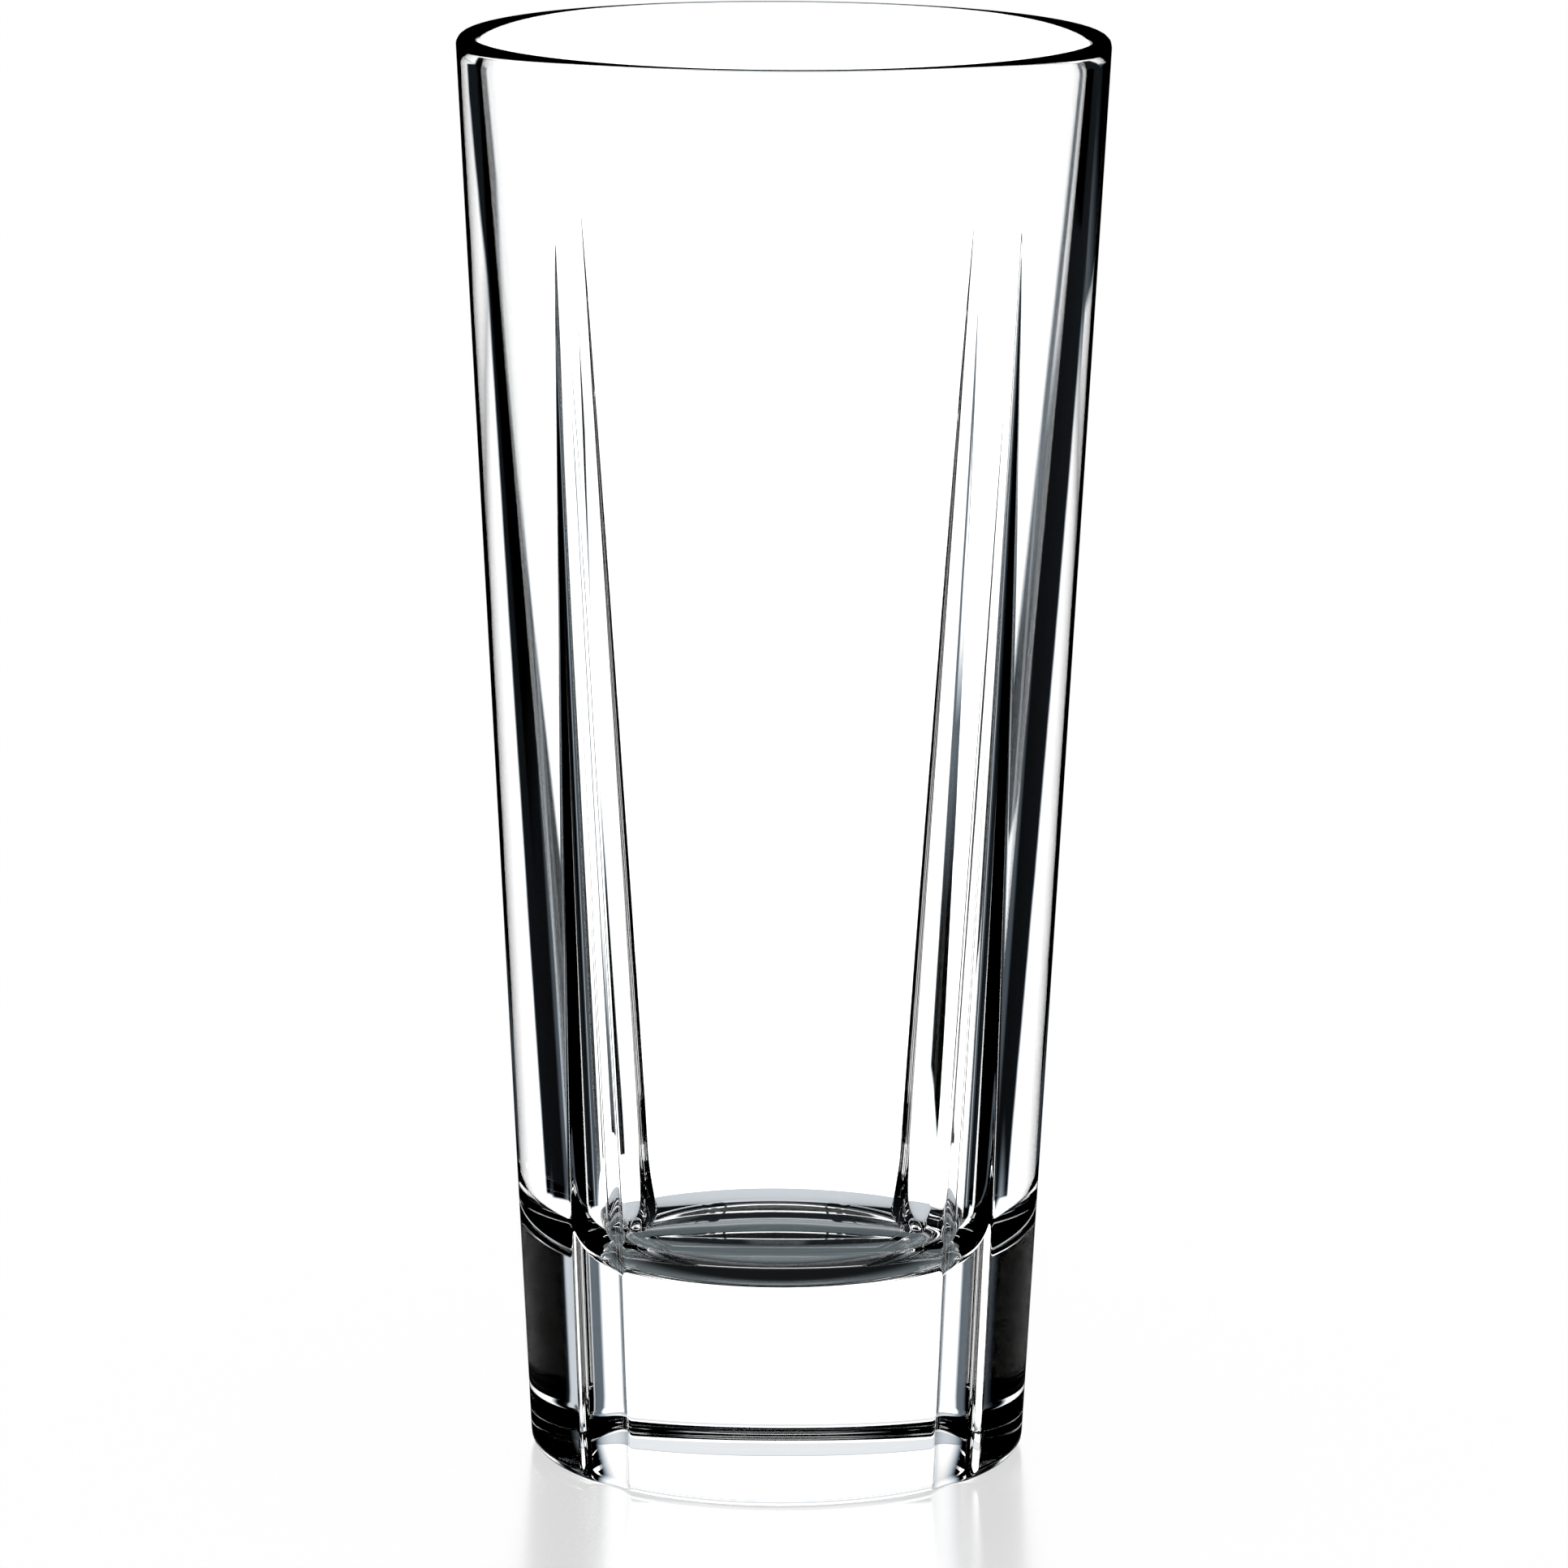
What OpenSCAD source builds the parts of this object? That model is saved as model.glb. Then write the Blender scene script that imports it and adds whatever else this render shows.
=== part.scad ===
// Highball glass: a heavy pressed tumbler, round and tapered, with a thick solid base and four
// concave flutes that die out under the rim.
// Millimetres. The glass stands on the plane z = 0 with its axis on Z.
// The real glass is one casting. Its three nodes are its rim, its wall and its base, which meet on
// flat level planes.

/* [Outside] */
// Height from the table to the top of the lip
glass_h = 150; // [130:1:170]
// Widest diameter of the rounded lip
rim_d = 67.5; // [62:0.5:74]
// Diameter at which the outside taper would meet the table, before the foot is rounded
base_d = 52; // [46:0.5:58]
// Radius of the rounded edge round the foot
foot_r = 1.6; // [1:0.1:3]

/* [Lip] */
// Thickness of the lip, which is fully rounded
lip_t = 2.2; // [1.6:0.1:3]
// Height of the plain band under the lip that belongs to the rim
rim_band_h = 14; // [8:1:18]

/* [Drink space] */
// Thickness of the solid base, from the table to the floor of the drink space
sham_t = 22; // [14:1:28]
// Thickness of the wall at the level of the floor, before its corner is rounded and before the flutes
wall_t = 5.75; // [4.5:0.05:8]
// Radius of the round corner between the floor and the wall
floor_r = 7; // [4:0.5:9]

/* [Underside] */
// Width of the flat ring that the glass stands on
stand_w = 3; // [2:0.5:5]
// Depth of the shallow hollow inside that ring
hollow_h = 1; // [0.6:0.1:1.6]

/* [Flutes] */
// Radius of each flute's round section over the solid base
flute_r = 6; // [5:0.1:7.5]
// Radius to which that section has shrunk at the top of the flute
flute_tip_r = 1.8; // [1.2:0.1:3]
// Depth of each flute over the solid base
flute_depth = 1.5; // [1:0.1:2]
// Height at which each flute dies out in the wall
flute_top = 135; // [115:1:140]

/* [Hidden] */

// Four flutes stand between the four round faces of the glass
flute_count = 4;
first_flute = 45;
// Every cut runs past the piece that it shapes by this much, and past the flute's top by less
overrun = 10;
tip_overrun = 5;
// Facets of a full turn, and of the short arcs in the profile
turn_facets = 128;
corner_steps = 8;
lip_steps = 16;
hollow_steps = 6;

// Centre of the round lip
lip_r = lip_t / 2;
lip_x = rim_d / 2 - lip_r;
lip_z = glass_h - lip_r;

// How far a straight side through the point (x, z) leans out from upright, in degrees, so that it
// runs into the lip on its outer side (side = 1) or its inner side (side = -1)
function lean_to_lip(x, z, side) =
    atan2(lip_x - x, lip_z - z) + side * asin(lip_r / norm([lip_x - x, lip_z - z]));

// Radius of the outside at height z, on its straight side
outer_lean = lean_to_lip(base_d / 2, 0, 1);
function outer_radius(z) = base_d / 2 + z * tan(outer_lean);

// Radius of the drink space at height z, on its straight side, which starts a wall's thickness inside
// the outside at the level of the floor
floor_x = outer_radius(sham_t) - wall_t;
inner_lean = lean_to_lip(floor_x, sham_t, -1);
function inner_radius(z) = floor_x + (z - sham_t) * tan(inner_lean);

// Points of an arc of radius r about (x, z), from one angle to another
function arc(x, z, r, from, to, steps) =
    [for (i = [0:steps]) let (a = from + (to - from) * i / steps) [x + r * cos(a), z + r * sin(a)]];

// How far a corner's arc centre lies inside the sharp corner of a level line and a leaning side
function corner_inset(r, lean) = r / tan((90 + lean) / 2);

// A round corner from a level line at height z into a side that leans out from (x, z)
function corner_arc(x, z, r, lean) =
    arc(x - corner_inset(r, lean), z + r, r, -90, -lean, corner_steps);

// Heights of the two planes where the nodes meet: one under the rim band, and one just above the
// round corner of the drink space
rim_z = glass_h - rim_band_h;
base_z = sham_t + floor_r;

// The hollow of the underside is a shallow dome inside the standing ring
stand_outer_r = base_d / 2 - corner_inset(foot_r, outer_lean);
hollow_r = stand_outer_r - stand_w;
dome_r = (hollow_r * hollow_r + hollow_h * hollow_h) / (2 * hollow_h);
dome_half_angle = asin(hollow_r / dome_r);

// Turns a profile of [radius, height] points round the axis of the glass
module turned(points) {
    rotate_extrude($fn = turn_facets) polygon(points);
}

// How full a flute is at height z, going up from the base to its top: 1 is full and 0 is none
function fading(z) = (flute_top - z) / (flute_top - base_z);

// Radius of the round tool that presses a flute, and how far its middle is from the axis of the
// glass, at height z and for a fullness of the flute
function tool_r(full) = flute_tip_r + (flute_r - flute_tip_r) * full;
function tool_x(z, full) = outer_radius(z) + tool_r(full) - flute_depth * full;

// A leaning round tool from one height to another, with the fullness of the flute at each
module leaning_tool(low_z, low_full, high_z, high_full) {
    low_x = tool_x(low_z, low_full);
    high_x = tool_x(high_z, high_full);
    run = [high_x - low_x, high_z - low_z];
    translate([low_x, 0, low_z])
        rotate([0, atan2(run.x, run.y), 0])
            cylinder(r1 = tool_r(low_full), r2 = tool_r(high_full), h = norm(run), $fn = turn_facets);
}

// A shape for each flute, spaced evenly round the glass
module each_flute() {
    for (i = [0:flute_count - 1])
        rotate([0, 0, first_flute + i * 360 / flute_count]) children();
}

// The even part of the flutes, which runs parallel to the outside of the base
module even_flutes() {
    each_flute() leaning_tool(-overrun, 1, base_z + overrun, 1);
}

// The fading part of the flutes, a slim cone that leaves the wall at flute_top
module fading_flutes() {
    low_z = base_z - overrun;
    high_z = flute_top + tip_overrun;
    each_flute() leaning_tool(low_z, fading(low_z), high_z, fading(high_z));
}

// The rounded lip and the plain band below it
module rim() {
    color([0.90, 0.94, 0.95, 0.4])
        difference() {
            turned(concat(
                [[inner_radius(rim_z), rim_z], [outer_radius(rim_z), rim_z]],
                arc(lip_x, lip_z, lip_r, -outer_lean, 180 - inner_lean, lip_steps)
            ));
            fading_flutes();
        }
}

// The tapered wall round the drink space, with the upper part of the flutes
module wall() {
    color([0.86, 0.91, 0.93, 0.4])
        difference() {
            turned([
                [inner_radius(base_z), base_z],
                [outer_radius(base_z), base_z],
                [outer_radius(rim_z), rim_z],
                [inner_radius(rim_z), rim_z]
            ]);
            fading_flutes();
        }
}

// The thick solid base, with the round bottom of the drink space in its top and a shallow hollow
// under it
module base() {
    color([0.80, 0.87, 0.90, 0.4])
        difference() {
            turned(concat(
                arc(0, hollow_h - dome_r, dome_r, 90, 90 - dome_half_angle, hollow_steps),
                corner_arc(base_d / 2, 0, foot_r, outer_lean),
                [[outer_radius(base_z), base_z], [inner_radius(base_z), base_z]],
                reverse(corner_arc(floor_x, sham_t, floor_r, inner_lean)),
                [[0, sham_t]]
            ));
            even_flutes();
        }
}

// A list in the opposite order
function reverse(list) = [for (i = [len(list) - 1:-1:0]) list[i]];

rim();
wall();
base();
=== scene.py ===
"""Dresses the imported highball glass: one clear casting, its studio and its camera.

Every length is in metres. The glass stands on z = 0 with its axis on Z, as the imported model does.
"""

import math
from collections import namedtuple

import bmesh
import bpy
from mathutils import Matrix, Vector


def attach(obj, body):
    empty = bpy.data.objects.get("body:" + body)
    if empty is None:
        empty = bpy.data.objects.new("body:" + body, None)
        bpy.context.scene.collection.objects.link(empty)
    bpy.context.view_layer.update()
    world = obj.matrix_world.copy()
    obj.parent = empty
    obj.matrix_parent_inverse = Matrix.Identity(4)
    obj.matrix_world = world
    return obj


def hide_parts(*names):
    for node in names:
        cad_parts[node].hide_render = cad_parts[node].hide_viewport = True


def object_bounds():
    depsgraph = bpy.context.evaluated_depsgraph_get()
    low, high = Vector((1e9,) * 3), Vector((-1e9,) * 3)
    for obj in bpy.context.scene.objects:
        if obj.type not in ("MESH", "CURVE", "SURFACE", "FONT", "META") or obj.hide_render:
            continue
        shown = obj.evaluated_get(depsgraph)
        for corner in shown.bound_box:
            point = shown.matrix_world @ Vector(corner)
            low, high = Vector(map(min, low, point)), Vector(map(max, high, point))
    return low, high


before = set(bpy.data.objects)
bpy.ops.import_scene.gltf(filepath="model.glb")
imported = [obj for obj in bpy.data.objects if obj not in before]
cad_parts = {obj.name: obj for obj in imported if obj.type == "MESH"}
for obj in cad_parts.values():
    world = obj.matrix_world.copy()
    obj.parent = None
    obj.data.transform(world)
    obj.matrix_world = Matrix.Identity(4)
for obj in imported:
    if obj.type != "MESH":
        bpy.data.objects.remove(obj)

bl_info = {
    "name": "Highball glass",
    "version": (1, 0, 0),
    "blender": (4, 5, 0),
    "location": "View3D > Sidebar > Highball glass",
    "description": "Casts a tapered clear highball glass with four flutes, and lights it for a photograph",
    "category": "Object",
}

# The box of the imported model, kept before anything is dressed
CAD_LOW, CAD_HIGH = [Vector(corner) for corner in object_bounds()]

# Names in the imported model
BODY = "root"
CAST_NODES = ("rim", "wall", "base")

UP = Vector((0, 0, 1))
FULL_TURN = 2 * math.pi
HALF_TURN = math.pi

# How finely the casting is divided
PROFILE_STEP = 0.0012
TURN_STEPS = 240
CORNER_SEGMENTS = 12
LIP_SEGMENTS = 24
# A bevel of this profile is a round arc, and each side of the lip takes almost half the lip's width
ROUND_PROFILE = 0.5
LIP_SIDE_SHARE = 0.4999
WELD_DISTANCE = 1e-7
# The faces are put in order by height, radius and angle, so that every run numbers them alike
PLACE_STEP = 1e-6
RADIUS_STEPS = 1e5

# Flutes
FLUTE_COUNT = 4
# The columns of the mesh crowd towards each edge of a flute: half of them lie inside it
FLUTE_COLUMN_SHARE = 0.5
COLUMN_CROWDING = 1.8
NARROWEST_HALF_FLUTE = math.radians(0.9)
LEAST_SOFTNESS = 1e-7

# Finer waves on the slow ones, and how much of the light each face mirrors within the glass
WAVE_DETAIL = 1.5
MIRROR_TINT = (0.35, 0.35, 0.35, 1)


# Sizes that a user would change


class GlassSizes(bpy.types.PropertyGroup):
    """The sizes of the glass"""

    height: bpy.props.FloatProperty(
        name="Height",
        description="From the table to the top of the lip",
        default=CAD_HIGH.z,
        unit="LENGTH",
    )
    rim_width: bpy.props.FloatProperty(
        name="Rim width",
        description="Widest diameter of the rounded lip",
        default=CAD_HIGH.x - CAD_LOW.x,
        unit="LENGTH",
    )
    foot_width: bpy.props.FloatProperty(
        name="Foot width",
        description="Diameter at which the outside taper would meet the table",
        default=0.052,
        unit="LENGTH",
    )
    foot_round: bpy.props.FloatProperty(
        name="Foot rounding",
        description="Radius of the rounded edge round the foot",
        default=0.0016,
        unit="LENGTH",
    )
    lip_thickness: bpy.props.FloatProperty(
        name="Lip thickness",
        description="Thickness of the lip, which is fully rounded",
        default=0.0022,
        unit="LENGTH",
    )
    sham: bpy.props.FloatProperty(
        name="Base thickness",
        description="From the table to the floor of the drink space",
        default=0.022,
        unit="LENGTH",
    )
    wall: bpy.props.FloatProperty(
        name="Wall thickness",
        description="Thickness of the wall at the level of the floor of the drink space",
        default=0.00575,
        unit="LENGTH",
    )
    floor_round: bpy.props.FloatProperty(
        name="Floor rounding",
        description="Radius of the round corner between the floor and the wall",
        default=0.007,
        unit="LENGTH",
    )
    stand_width: bpy.props.FloatProperty(
        name="Standing ring",
        description="Width of the flat ring that the glass stands on",
        default=0.003,
        unit="LENGTH",
    )
    hollow: bpy.props.FloatProperty(
        name="Hollow",
        description="Depth of the shallow hollow under the foot",
        default=0.001,
        unit="LENGTH",
    )


class FluteSizes(bpy.types.PropertyGroup):
    """The sizes of the flutes"""

    radius: bpy.props.FloatProperty(
        name="Flute radius",
        description="Radius of each flute's round section over the solid base",
        default=0.006,
        unit="LENGTH",
    )
    tip_radius: bpy.props.FloatProperty(
        name="Tip radius",
        description="Radius to which that section has shrunk at the top of the flute",
        default=0.0018,
        unit="LENGTH",
    )
    depth: bpy.props.FloatProperty(
        name="Flute depth",
        description="Depth of each flute over the solid base",
        default=0.0015,
        unit="LENGTH",
    )
    top: bpy.props.FloatProperty(
        name="Flute top",
        description="Height at which each flute dies out in the wall",
        default=0.135,
        unit="LENGTH",
    )
    bend_softness: bpy.props.FloatProperty(
        name="Bend softness",
        description="Height over which the even part of a flute turns softly into its fading part",
        default=0.008,
        unit="LENGTH",
    )
    edge_softness: bpy.props.FloatProperty(
        name="Edge softness",
        description="How far the fire-polished edge of a flute is melted round",
        default=0.00012,
        unit="LENGTH",
    )
    edge_share: bpy.props.FloatProperty(
        name="Edge share",
        description="The most of a flute's depth that the melting of its edge takes",
        default=0.2,
        min=0.01,
        max=1,
        subtype="FACTOR",
    )


class GlassFinish(bpy.types.PropertyGroup):
    """The finish of the glass"""

    colour: bpy.props.FloatVectorProperty(
        name="Glass colour",
        description="Colour that the glass gives to the light that passes each face",
        default=(0.995, 1.0, 1.0),
        min=0,
        max=1,
        subtype="COLOR",
    )
    bend: bpy.props.FloatProperty(
        name="Refractive index",
        description="How strongly the glass bends light",
        default=1.52,
        min=1.3,
        max=1.9,
    )
    wave_depth: bpy.props.FloatProperty(
        name="Wave depth",
        description="Height of the slow waves that the mould leaves in the surface",
        default=0.000006,
        unit="LENGTH",
    )
    wave_length: bpy.props.FloatProperty(
        name="Wave length",
        description="Distance from one of those waves to the next",
        default=0.012,
        min=0.0001,
        unit="LENGTH",
    )


class StudioLight(bpy.types.PropertyGroup):
    """The studio round the glass"""

    card_strength: bpy.props.FloatProperty(
        name="Card strength",
        description="Brightness of the white cards as the glass shows them, before the glass takes its share",
        default=1.7,
        min=0,
        soft_max=2,
    )
    floor_gloss: bpy.props.FloatProperty(
        name="Table gloss",
        description="Share of the table's light that is a reflection",
        default=0.3,
        min=0,
        max=1,
        subtype="FACTOR",
    )
    floor_shadow: bpy.props.FloatProperty(
        name="Table shadow",
        description="Share of the table's light that the glass can shade",
        default=0.08,
        min=0,
        max=1,
        subtype="FACTOR",
    )
    # Brightness of the painted shadow that the table shows under the foot, at its darkest front
    painted_shadow_dark: bpy.props.FloatProperty(
        name="Contact dark",
        description="Brightness of the table at the foot, where least light creeps in",
        default=0.01,
        min=0,
        max=1,
        subtype="FACTOR",
    )
    # Brightness of the painted light that creeps into that painted shadow from behind
    painted_creep_light: bpy.props.FloatProperty(
        name="Contact light",
        description="Brightness of the table under the foot, where light creeps in from behind",
        default=0.17,
        min=0,
        max=1,
        subtype="FACTOR",
    )


# Shape of the casting


def lip_centre(sizes):
    """Radius and height of the middle of the round lip."""
    half_lip = sizes.lip_thickness / 2
    return sizes.rim_width / 2 - half_lip, sizes.height - half_lip


def lean_to_lip(sizes, radius, height, side):
    """Lean of a straight side from (radius, height) that touches the lip's outer (1) or inner (-1) side."""
    lip_x, lip_z = lip_centre(sizes)
    across = lip_x - radius
    along = lip_z - height
    half_lip = sizes.lip_thickness / 2
    return math.atan2(across, along) + side * math.asin(half_lip / math.hypot(across, along))


def outer_lean(sizes):
    """Lean of the outside."""
    return lean_to_lip(sizes, sizes.foot_width / 2, 0, 1)


def outer_radius(sizes, height):
    """Radius of the outside at a height, before the flutes."""
    return sizes.foot_width / 2 + height * math.tan(outer_lean(sizes))


def floor_radius(sizes):
    """Radius at which the drink space's wall would meet its floor."""
    return outer_radius(sizes, sizes.sham) - sizes.wall


def inner_lean(sizes):
    """Lean of the drink space's wall."""
    return lean_to_lip(sizes, floor_radius(sizes), sizes.sham, -1)


def inner_radius(sizes, height):
    """Radius of the drink space at a height."""
    return floor_radius(sizes) + (height - sizes.sham) * math.tan(inner_lean(sizes))


def corner_reach(radius, lean):
    """How far a round corner reaches along each side from the sharp corner of a level and a leaning side."""
    return radius / math.tan((HALF_TURN / 2 + lean) / 2)


def add_chain(mesh, points):
    """Adds a chain of edges through points of [radius, height], in the XZ plane."""
    corners = [mesh.verts.new((radius, 0, height)) for radius, height in points]
    for first, second in zip(corners, corners[1:]):
        mesh.edges.new((first, second))
    return corners


def round_corner(mesh, corner, reach, segments):
    """Rounds one corner of the chain."""
    bmesh.ops.bevel(
        mesh,
        geom=[corner],
        offset=reach,
        offset_type="OFFSET",
        affect="VERTICES",
        segments=segments,
        profile=ROUND_PROFILE,
        material=-1,
    )


def divide_long_edges(mesh, longest):
    """Cuts every edge of the chain that is longer than it may be."""
    for edge in list(mesh.edges):
        cuts = math.ceil(edge.calc_length() / longest) - 1
        if cuts > 0:
            bmesh.ops.subdivide_edges(mesh, edges=[edge], cuts=cuts)


def casting_profile(mesh, sizes):
    """Draws half the section of the glass, from its axis under the foot round to its axis on the floor."""
    foot_reach = corner_reach(sizes.foot_round, outer_lean(sizes))
    stand_inner = sizes.foot_width / 2 - foot_reach - sizes.stand_width
    top = sizes.height
    corners = add_chain(
        mesh,
        [
            (0, 0),
            (stand_inner, 0),
            (sizes.foot_width / 2, 0),
            (outer_radius(sizes, top), top),
            (inner_radius(sizes, top), top),
            (floor_radius(sizes), sizes.sham),
            (0, sizes.sham),
        ],
    )
    foot, lip_out, lip_in, floor = corners[2:6]
    half_lip = sizes.lip_thickness / 2
    round_corner(mesh, foot, foot_reach, CORNER_SEGMENTS)
    round_corner(mesh, floor, corner_reach(sizes.floor_round, inner_lean(sizes)), CORNER_SEGMENTS)
    lip_width = outer_radius(sizes, top) - inner_radius(sizes, top)
    for corner in (lip_out, lip_in):
        round_corner(mesh, corner, lip_width * LIP_SIDE_SHARE, LIP_SEGMENTS // 2)
    divide_long_edges(mesh, PROFILE_STEP)
    return stand_inner


def raise_hollow(mesh, stand_inner, depth):
    """Lifts the middle of the underside into a shallow dome inside the standing ring."""
    for corner in mesh.verts:
        radius = math.hypot(corner.co.x, corner.co.y)
        if corner.co.z < WELD_DISTANCE and radius < stand_inner:
            corner.co.z = depth * (1 - (radius / stand_inner) ** 2)


def soft_minimum(first, second, softness):
    """The smaller of two numbers, with a soft turn from one to the other."""
    nearness = max(softness - abs(first - second), 0) / softness
    return min(first, second) - nearness**2 * softness / 4


class Flute:
    """A round tool that lies even along the base, then thins and leaves the wall at the flute's top."""

    def __init__(self, sizes, flutes):
        self.sizes = sizes
        self.flutes = flutes
        self.even_top = sizes.sham + sizes.floor_round
        self.fade = flutes.top - self.even_top

    def fullness(self, height):
        """How full the flute is: 1 over the base, down to 0 at its top."""
        share = (self.flutes.top - height) / self.fade
        return soft_minimum(share, 1, self.flutes.bend_softness / self.fade)

    def radius(self, height):
        """Radius of the tool."""
        flutes = self.flutes
        return flutes.tip_radius + (flutes.radius - flutes.tip_radius) * self.fullness(height)

    def distance(self, height):
        """Distance of the tool's middle from the glass's axis."""
        depth = self.flutes.depth * self.fullness(height)
        return outer_radius(self.sizes, height) + self.radius(height) - depth

    def half_angle(self, height):
        """Half the angle that the flute takes of the outside, seen from the axis."""
        outside = outer_radius(self.sizes, height)
        distance = self.distance(height)
        reach = (outside**2 + distance**2 - self.radius(height) ** 2) / (2 * outside * distance)
        return max(math.acos(min(1, reach)), NARROWEST_HALF_FLUTE)

    def surface(self, offset, height):
        """Radius of the flute's surface at an angle from its middle, or None past the tool."""
        distance = self.distance(height)
        sideways = distance * math.sin(offset)
        radius = self.radius(height)
        if abs(sideways) >= radius:
            return None
        return distance * math.cos(offset) - math.sqrt(radius**2 - sideways**2)

    def cut(self, radius, offset, height):
        """Radius of a point after the flute has cut it, with the flute's edge melted round."""
        surface = self.surface(offset, height)
        if surface is None:
            return radius
        depth = max(self.flutes.depth * self.fullness(height), 0)
        softness = min(self.flutes.edge_softness, depth * self.flutes.edge_share)
        return soft_minimum(radius, surface, max(softness, LEAST_SOFTNESS))


def crowd_columns(share, half_flute, half_sector):
    """Angle from a flute's middle of the column that is at a share of its sector, crowded at the edge."""
    if share < FLUTE_COLUMN_SHARE:
        left = 1 - share / FLUTE_COLUMN_SHARE
        return half_flute * (1 - left**COLUMN_CROWDING)
    past = (share - FLUTE_COLUMN_SHARE) / (1 - FLUTE_COLUMN_SHARE)
    return half_flute + (half_sector - half_flute) * past**COLUMN_CROWDING


def cut_flutes(mesh, flute):
    """Moves the columns of the casting to the flutes' edges and presses the flutes into it."""
    sector = FULL_TURN / FLUTE_COUNT
    half_sector = sector / 2
    for corner in mesh.verts:
        radius = math.hypot(corner.co.x, corner.co.y)
        if radius < WELD_DISTANCE:
            continue
        angle = math.atan2(corner.co.y, corner.co.x) % FULL_TURN
        middle = (angle // sector) * sector + half_sector
        offset = angle - middle
        share = min(abs(offset) / half_sector, 1)
        offset = math.copysign(
            crowd_columns(share, flute.half_angle(corner.co.z), half_sector), offset
        )
        radius = flute.cut(radius, offset, corner.co.z)
        corner.co.x = radius * math.cos(middle + offset)
        corner.co.y = radius * math.sin(middle + offset)


def face_number(face):
    """A number that grows with the height of a face, then with its radius, then with its angle."""
    middle = face.calc_center_median()
    height = round(middle.z / PLACE_STEP)
    radius = round(math.hypot(middle.x, middle.y) / PLACE_STEP)
    turn = math.atan2(middle.y, middle.x) % FULL_TURN / FULL_TURN
    return height * RADIUS_STEPS + radius + turn


def cast_mesh(name, sizes, flutes):
    """Turns the section into the whole casting, and presses the flutes."""
    mesh = bmesh.new()
    stand_inner = casting_profile(mesh, sizes)
    raise_hollow(mesh, stand_inner, sizes.hollow)
    bmesh.ops.spin(
        mesh,
        geom=mesh.verts[:] + mesh.edges[:],
        cent=(0, 0, 0),
        axis=UP,
        dvec=(0, 0, 0),
        angle=FULL_TURN,
        steps=TURN_STEPS,
        use_merge=True,
    )
    bmesh.ops.remove_doubles(mesh, verts=mesh.verts[:], dist=WELD_DISTANCE)
    cut_flutes(mesh, Flute(sizes, flutes))
    bmesh.ops.recalc_face_normals(mesh, faces=mesh.faces[:])
    mesh.faces.sort(key=face_number)
    for face in mesh.faces:
        face.smooth = True
    data = bpy.data.meshes.new(name)
    mesh.to_mesh(data)
    mesh.free()
    return data


# Finishes


def clear_tree(owner):
    """Turns nodes on for a material or world and empties them."""
    owner.use_nodes = True
    owner.node_tree.nodes.clear()
    return owner.node_tree


def join(tree, source, target):
    """Links one socket to another."""
    tree.links.new(source, target)


def glass_material(finish):
    """Fire-polished clear glass with the slow waves of the mould."""
    material = bpy.data.materials.new("clear_glass")
    tree = clear_tree(material)
    shader = tree.nodes.new("ShaderNodeBsdfPrincipled")
    shader.inputs["Base Color"].default_value = (*finish.colour, 1)
    shader.inputs["Roughness"].default_value = 0
    shader.inputs["IOR"].default_value = finish.bend
    shader.inputs["Transmission Weight"].default_value = 1
    shader.inputs["Specular Tint"].default_value = MIRROR_TINT
    noise = tree.nodes.new("ShaderNodeTexNoise")
    join(tree, tree.nodes.new("ShaderNodeTexCoord").outputs["Object"], noise.inputs["Vector"])
    noise.inputs["Scale"].default_value = 1 / finish.wave_length
    noise.inputs["Detail"].default_value = WAVE_DETAIL
    waves = tree.nodes.new("ShaderNodeBump")
    waves.inputs["Strength"].default_value = 1
    waves.inputs["Distance"].default_value = finish.wave_depth
    join(tree, noise.outputs["Fac"], waves.inputs["Height"])
    join(tree, waves.outputs["Normal"], shader.inputs["Normal"])
    output = tree.nodes.new("ShaderNodeOutputMaterial")
    join(tree, shader.outputs["BSDF"], output.inputs["Surface"])
    return material


# Studio

# White cards stand round the glass with black flags between them. A card's left and right edges are
# headings in degrees clockwise from +Y, seen from above, and its low and high edges are heights in degrees
# above the horizon. A leaning edge has one heading at one height and another heading at another height
Card = namedtuple("Card", "left right softness low high brightness")
Leaning = namedtuple("Leaning", "height heading end_height end_heading")
# How soft the low and high edges of every card are, in degrees
HEIGHT_SOFTNESS = 0.7
# The left edge of the wide card behind, as both kinds of path through the wall show it
WALL_LEFT = Leaning(-11.2, -19.5, -13, -29)
# What a path through the solid base shows: it meets two faces of the glass
BASE_CARDS = (
    Card(-35, 35.5, 1.5, -21, 5, 1),
    Card(-44, 45, 4, -21, 5, 0.09),
    Card(43.7, 46.7, 0.8, -21, 5, 0.4),
)
# What a path along the inside of the wall shows: it meets three faces
EDGE_CARDS = (
    Card(WALL_LEFT, Leaning(-11.2, 4, -12.4, 20), 1.5, -13, 5, 1),
    Card(WALL_LEFT, Leaning(-13.2, 24, -18.9, 34.4), 1.5, -21, -13, 1),
    Card(0, 23, 1.5, -13, -11.6, 0.09),
    Card(-62, -49, 1.5, -21, -13.8, 0.05),
    Card(50, 62, 1.5, -21, -13.8, 0.05),
    Card(-54, -52, 0.7, -21, -13.8, 0.3),
    Card(55.5, 57.5, 0.7, -21, -13.8, 0.4),
)
# What a path through the front wall and the back wall shows: it meets four faces or more
WALL_CARDS = (
    Card(WALL_LEFT, 21, 1.5, -14, 5, 1),
    Card(Leaning(-13, -29, -16, -20), 21, 1.5, -21, -12.6, 1),
    Card(0, Leaning(-15.6, 21, -17, 45), 1.5, -21, -14, 1),
    Card(0, 34, 1.5, -14, 5, 0.08),
    Card(25, 37, 1.5, -12.8, 5, 1),
    Card(115, 181, 3, -10, 10, 0.8),
    Card(-181, -115, 3, -10, 10, 0.8),
)
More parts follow.
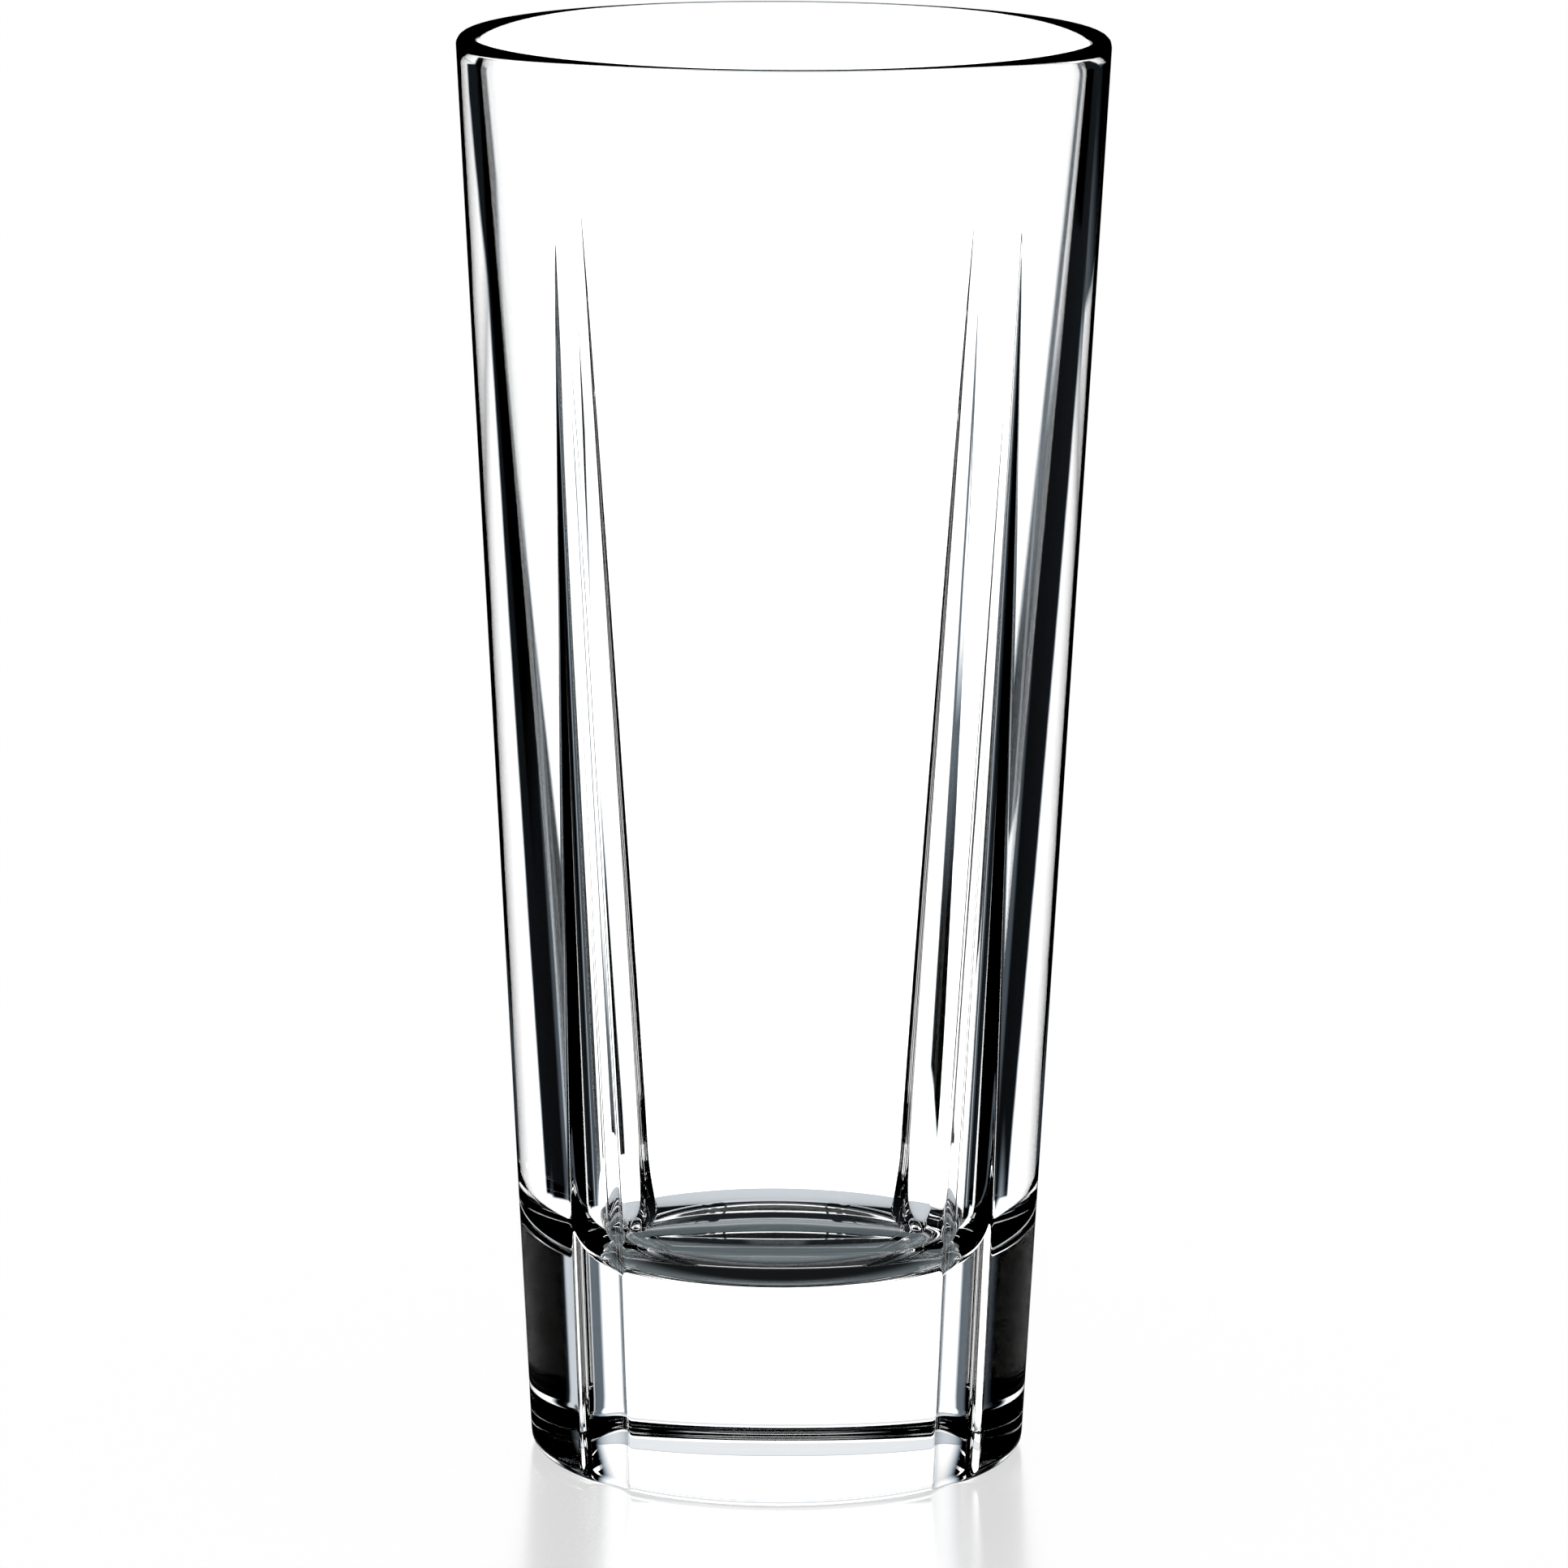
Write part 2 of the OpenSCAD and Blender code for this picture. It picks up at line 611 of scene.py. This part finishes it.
# What every path shows steeply down on the table, and above the horizon behind the glass
STEEP_CARDS = (
    Card(-80, 43, 3, -52, -21, 1),
    Card(-35, 43, 3, -22, -20, 1),
    Card(-181, 181, 3, -91, -52, 0.42),
    Card(-36, 38, 9, 5, 14, 0.5),
    Card(-36, 38, 9, 14, 58, 1),
)
# Cards beside and behind the camera, which show when the glass is looked at from its other sides
AROUND_CARDS = (
    Card(100, 170, 3, -23, -7, 1),
    Card(55, 125, 3, -7.5, 20, 1),
    Card(145, 181, 3, -7.5, 20, 1),
    Card(-181, -145, 3, -7.5, 20, 1),
    Card(-125, -55, 3, -7.5, 20, 1),
)
# Light that has been thrown about in the wall of the glass: paths of this many bounces are dimmed
STRAY_BOUNCES = 5
STRAY_SHARE = 0.04
# Faces that a path through the base meets at the most, and a path through both walls at the least
BASE_BOUNCES = 2
WALL_BOUNCES = 4
# Dim light has passed more glass, so it is tinted, as the painted shadow under the foot is. Full light is
# white
DIM_TINT = (0.8, 1.0, 1.2)
# Colour of the painted shadow under the foot
PAINTED_SHADOW_TINT = (0.78, 0.93, 1.0, 1.0)
FULL_TINT = (1, 1, 1)
WHITE = (1, 1, 1, 1)
# A world counts one bounce more than a surface does, and counts are compared halfway between two of them
WORLD_BOUNCE = 1
HALF_BOUNCE = 0.5
# Half the side of the table top, how far it lies below the foot, and how rough its gloss is
TABLE_HALF = 10.0
TABLE_DROP = 0.00005
TABLE_ROUGHNESS = 0.2
# The painted shadow under the foot ends softly between two radii, and painted light creeps into it between
# two places on Y
PAINTED_SHADOW_RADIUS = 0.0248
PAINTED_SHADOW_END = 0.0278
PAINTED_CREEP_FROM = -0.013
PAINTED_CREEP_TO = 0.002
# Where a Mix node keeps its factor, its two numbers and its two vectors, and the vector that it gives
MIX_FACTOR = 0
MIX_NUMBERS = slice(2, 4)
MIX_VECTORS = slice(4, 6)
MIX_VECTOR_RESULT = 1


def number_node(tree, operation, first, second=0):
    """A Math node of one input or two, each a socket or a number."""
    node = tree.nodes.new("ShaderNodeMath")
    node.operation = operation
    for socket, value in zip(node.inputs, (first, second)):
        if isinstance(value, bpy.types.NodeSocket):
            join(tree, value, socket)
        else:
            socket.default_value = value
    return node.outputs["Value"]


def vector_node(tree, operation, vector):
    """A Vector Math node of one vector."""
    node = tree.nodes.new("ShaderNodeVectorMath")
    node.operation = operation
    join(tree, vector, node.inputs[0])
    return node


def smooth_step(tree, value, low, high, from_value=0.0, to_value=1.0):
    """A smooth step between two values of a socket."""
    node = tree.nodes.new("ShaderNodeMapRange")
    node.interpolation_type = "SMOOTHSTEP"
    join(tree, value, node.inputs["Value"])
    node.inputs["From Min"].default_value = low
    node.inputs["From Max"].default_value = high
    node.inputs["To Min"].default_value = from_value
    node.inputs["To Max"].default_value = to_value
    return node.outputs["Result"]


def card_edge(tree, height, edge):
    """Heading of a card's edge at a height: a number, or a socket where the edge leans."""
    if not isinstance(edge, Leaning):
        return edge
    node = tree.nodes.new("ShaderNodeMapRange")
    join(tree, height, node.inputs["Value"])
    for name, value in zip(("From Min", "To Min", "From Max", "To Max"), edge):
        node.inputs[name].default_value = value
    return node.outputs["Result"]


def card_light(tree, heading, height, card):
    """Brightness of one card in a direction, with soft edges."""
    past_left = number_node(tree, "SUBTRACT", heading, card_edge(tree, height, card.left))
    before_right = number_node(tree, "SUBTRACT", card_edge(tree, height, card.right), heading)
    light = card.brightness
    for inset in (past_left, before_right):
        share = smooth_step(tree, inset, -card.softness, card.softness)
        light = number_node(tree, "MULTIPLY", share, light)
    for edge, side in ((card.low, 1), (card.high, -1)):
        soft = side * HEIGHT_SOFTNESS
        share = smooth_step(tree, height, edge - soft, edge + soft)
        light = number_node(tree, "MULTIPLY", share, light)
    return light


def card_set(tree, heading, height, cards):
    """Brightness of a set of cards in a direction."""
    brightness = 0.0
    for card in cards:
        light = card_light(tree, heading, height, card)
        brightness = number_node(tree, "MAXIMUM", brightness, light)
    return brightness


def blend_numbers(tree, share, first, second):
    """A blend of two sockets by a share."""
    node = tree.nodes.new("ShaderNodeMix")
    join(tree, share, node.inputs[MIX_FACTOR])
    for socket, value in zip(node.inputs[MIX_NUMBERS], (first, second)):
        join(tree, value, socket)
    return node.outputs["Result"]


def dim_stray(tree, rays, brightness, bounces):
    """Dims the light that has been thrown about in the wall for a number of bounces."""
    stray = number_node(tree, "COMPARE", rays.outputs["Ray Depth"], bounces)
    kept = smooth_step(tree, stray, 0.0, 1.0, 1.0, STRAY_SHARE)
    return number_node(tree, "MULTIPLY", brightness, kept)


def tint_dim(tree, brightness):
    """Colour of a brightness: tinted where it is dim, and white at full brightness."""
    node = tree.nodes.new("ShaderNodeMix")
    node.data_type = "VECTOR"
    join(tree, brightness, node.inputs[MIX_FACTOR])
    for socket, tint in zip(node.inputs[MIX_VECTORS], (DIM_TINT, FULL_TINT)):
        socket.default_value = tint
    scaled = vector_node(tree, "SCALE", node.outputs[MIX_VECTOR_RESULT])
    join(tree, brightness, scaled.inputs["Scale"])
    return scaled.outputs["Vector"]


def white_to(tree, rays, ray_names, brightness):
    """White to the rays that are named, and a brightness to the others."""
    seen = 0.0
    for name in ray_names:
        seen = number_node(tree, "MAXIMUM", seen, rays.outputs[name])
    return number_node(tree, "MAXIMUM", seen, brightness)


def direction_angles(tree):
    """Heading and height in degrees of the direction in which a path leaves the glass."""
    split = tree.nodes.new("ShaderNodeSeparateXYZ")
    join(tree, tree.nodes.new("ShaderNodeTexCoord").outputs["Object"], split.inputs["Vector"])
    turn = number_node(tree, "ARCTAN2", split.outputs["X"], split.outputs["Y"])
    rise = number_node(tree, "ARCSINE", split.outputs["Z"])
    return number_node(tree, "DEGREES", turn), number_node(tree, "DEGREES", rise)


def cards_by_path(tree, bounces):
    """Brightness of the cards in a direction, for a path that has met a number of faces."""
    heading, height = direction_angles(tree)
    cards = card_set(tree, heading, height, EDGE_CARDS)
    most = BASE_BOUNCES + WORLD_BOUNCE + HALF_BOUNCE
    through_base = number_node(tree, "LESS_THAN", bounces, most)
    base_cards = card_set(tree, heading, height, BASE_CARDS + AROUND_CARDS)
    cards = blend_numbers(tree, through_base, cards, base_cards)
    least = WALL_BOUNCES + WORLD_BOUNCE - HALF_BOUNCE
    through_walls = number_node(tree, "GREATER_THAN", bounces, least)
    wall_cards = card_set(tree, heading, height, WALL_CARDS + AROUND_CARDS)
    cards = blend_numbers(tree, through_walls, cards, wall_cards)
    return number_node(tree, "MAXIMUM", cards, card_set(tree, heading, height, STEEP_CARDS))


def studio_world(scene, light):
    """White to the camera and to the table, and white cards between black flags to the glass."""
    world = bpy.data.worlds.new("studio")
    world.cycles.sampling_method = "NONE"
    tree = clear_tree(world)
    rays = tree.nodes.new("ShaderNodeLightPath")
    cards = cards_by_path(tree, rays.outputs["Ray Depth"])
    cards = number_node(tree, "MULTIPLY", cards, light.card_strength)
    cards = dim_stray(tree, rays, cards, STRAY_BOUNCES + WORLD_BOUNCE)
    # The outside of the glass mirrors black flags only, and the table's soft gloss mirrors white
    unmirrored = number_node(tree, "SUBTRACT", 1, rays.outputs["Is Reflection Ray"])
    cards = number_node(tree, "MULTIPLY", cards, unmirrored)
    gloss = number_node(
        tree, "GREATER_THAN", rays.outputs["Is Glossy Ray"], rays.outputs["Is Singular Ray"]
    )
    cards = number_node(tree, "MAXIMUM", cards, gloss)
    brightness = white_to(tree, rays, ("Is Camera Ray", "Is Diffuse Ray"), cards)
    background = tree.nodes.new("ShaderNodeBackground")
    join(tree, tint_dim(tree, brightness), background.inputs["Color"])
    output = tree.nodes.new("ShaderNodeOutputWorld")
    join(tree, background.outputs["Background"], output.inputs["Surface"])
    scene.world = world


def mix_shaders(tree, share, first, second):
    """A mix of two shaders; the share is a number or a socket."""
    node = tree.nodes.new("ShaderNodeMixShader")
    if isinstance(share, bpy.types.NodeSocket):
        join(tree, share, node.inputs["Fac"])
    else:
        node.inputs["Fac"].default_value = share
    join(tree, first, node.inputs[1])
    join(tree, second, node.inputs[2])
    return node.outputs["Shader"]


def table_to_camera(tree, light):
    """The table that the camera sees: white, with a faint reflection and shadow of the glass."""
    glow = tree.nodes.new("ShaderNodeEmission")
    matt = tree.nodes.new("ShaderNodeBsdfDiffuse")
    matt.inputs["Color"].default_value = WHITE
    gloss = tree.nodes.new("ShaderNodeBsdfAnisotropic")
    gloss.inputs["Color"].default_value = WHITE
    gloss.inputs["Roughness"].default_value = TABLE_ROUGHNESS
    shaded = mix_shaders(tree, light.floor_shadow, glow.outputs["Emission"], matt.outputs["BSDF"])
    return mix_shaders(tree, light.floor_gloss, shaded, gloss.outputs["BSDF"])


def table_to_glass(tree, rays, light):
    """The table that the glass shows: a painted shadow under the foot, lighter towards the back where painted
    light creeps in, and beyond it the studio's cards.
    """
    place = tree.nodes.new("ShaderNodeTexCoord").outputs["Object"]
    distance = vector_node(tree, "LENGTH", place).outputs["Value"]
    split = tree.nodes.new("ShaderNodeSeparateXYZ")
    join(tree, place, split.inputs["Vector"])
    painted_shade_ramp = smooth_step(
        tree, split.outputs["Y"], PAINTED_CREEP_FROM, PAINTED_CREEP_TO, light.painted_shadow_dark, light.painted_creep_light
    )
    # The patch is a dim glow: a painted shadow under the foot, with painted light creeping in at its back
    glow = tree.nodes.new("ShaderNodeEmission")
    glow.inputs["Color"].default_value = PAINTED_SHADOW_TINT
    join(tree, dim_stray(tree, rays, painted_shade_ramp, STRAY_BOUNCES), glow.inputs["Strength"])
    clear = tree.nodes.new("ShaderNodeBsdfTransparent")
    past_painted_shadow = smooth_step(tree, distance, PAINTED_SHADOW_RADIUS, PAINTED_SHADOW_END)
    return mix_shaders(tree, past_painted_shadow, glow.outputs["Emission"], clear.outputs["BSDF"])


def table_material(light):
    """White gloss table."""
    material = bpy.data.materials.new("table")
    tree = clear_tree(material)
    rays = tree.nodes.new("ShaderNodeLightPath")
    to_glass = table_to_glass(tree, rays, light)
    to_camera = table_to_camera(tree, light)
    chosen = mix_shaders(tree, rays.outputs["Is Camera Ray"], to_glass, to_camera)
    output = tree.nodes.new("ShaderNodeOutputMaterial")
    join(tree, chosen, output.inputs["Surface"])
    return material


def new_object(name, data):
    """Links a new object to the scene, at the origin."""
    made = bpy.data.objects.new(name, data)
    bpy.context.scene.collection.objects.link(made)
    return made


def lay_table(light):
    """A level table top, a hair below the foot."""
    mesh = bmesh.new()
    bmesh.ops.create_grid(mesh, x_segments=1, y_segments=1, size=TABLE_HALF)
    data = bpy.data.meshes.new("table")
    mesh.to_mesh(data)
    mesh.free()
    table = new_object("table", data)
    table.location.z = -TABLE_DROP
    data.materials.append(table_material(light))


# Camera, as fitted to the photograph

PHOTO_WIDTH = 1932
FOCAL_PIXELS = 10084
SENSOR_WIDTH = 36
NEAR_CLIP = 0.01
FAR_CLIP = 100
CAMERA_DISTANCE = 0.8406
CAMERA_HEIGHT = 0.2410
CAMERA_SIDE = 1.45
CAMERA_AIM = 0.028
CAMERA_PITCH = 11.414
CAMERA_ROLL = 0.304


def photograph_camera(scene):
    """The camera at the photograph's place and angle of view."""
    data = bpy.data.cameras.new("photograph")
    data.sensor_width = SENSOR_WIDTH
    data.lens = FOCAL_PIXELS / PHOTO_WIDTH * SENSOR_WIDTH
    data.clip_start = NEAR_CLIP
    data.clip_end = FAR_CLIP
    camera = new_object("photograph", data)
    side = Matrix.Rotation(math.radians(-CAMERA_SIDE), 4, "Z")
    place = Matrix.Translation((0, -CAMERA_DISTANCE, CAMERA_HEIGHT))
    aim = Matrix.Rotation(math.radians(-CAMERA_AIM), 4, "Z")
    tilt = Matrix.Rotation(math.radians(90 - CAMERA_PITCH), 4, "X")
    roll = Matrix.Rotation(math.radians(CAMERA_ROLL), 4, "Z")
    camera.matrix_world = side @ place @ aim @ tilt @ roll
    scene.camera = camera


# Operators


class HIGHBALL_OT_cast_glass(bpy.types.Operator):
    """Cast the whole glass as one clear piece"""

    bl_idname = "highball.cast_glass"
    bl_label = "Cast glass"

    def execute(self, context):
        scene = context.scene
        data = cast_mesh("highball_glass", scene.glass_sizes, scene.flute_sizes)
        data.materials.append(glass_material(scene.glass_finish))
        glass = new_object("highball_glass", data)
        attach(glass, BODY)
        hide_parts(*CAST_NODES)
        return {"FINISHED"}


class HIGHBALL_OT_set_stage(bpy.types.Operator):
    """Lay the table, hang the white cards and flags, and place the camera"""

    bl_idname = "highball.set_stage"
    bl_label = "Set stage"

    def execute(self, context):
        scene = context.scene
        lay_table(scene.studio_light)
        studio_world(scene, scene.studio_light)
        photograph_camera(scene)
        scene.view_settings.view_transform = "Standard"
        return {"FINISHED"}


class HIGHBALL_PT_panel(bpy.types.Panel):
    """Sizes, finish and studio of the highball glass"""

    bl_idname = "HIGHBALL_PT_panel"
    bl_label = "Highball glass"
    bl_space_type = "VIEW_3D"
    bl_region_type = "UI"
    bl_category = "Highball glass"

    def draw(self, context):
        scene = context.scene
        for group in (scene.glass_sizes, scene.flute_sizes, scene.glass_finish, scene.studio_light):
            box = self.layout.box()
            for name in group.__annotations__:
                box.prop(group, name)
        for operator in (HIGHBALL_OT_cast_glass, HIGHBALL_OT_set_stage):
            self.layout.operator(operator.bl_idname)


GROUPS = {
    "glass_sizes": GlassSizes,
    "flute_sizes": FluteSizes,
    "glass_finish": GlassFinish,
    "studio_light": StudioLight,
}
CLASSES = (*GROUPS.values(), HIGHBALL_OT_cast_glass, HIGHBALL_OT_set_stage, HIGHBALL_PT_panel)


def register():
    for kind in CLASSES:
        bpy.utils.register_class(kind)
    for name, group in GROUPS.items():
        setattr(bpy.types.Scene, name, bpy.props.PointerProperty(type=group))


def unregister():
    for name in GROUPS:
        delattr(bpy.types.Scene, name)
    for kind in reversed(CLASSES):
        bpy.utils.unregister_class(kind)


def main():
    register()
    bpy.ops.highball.cast_glass()
    bpy.ops.highball.set_stage()


if __name__ == "__main__":
    main()
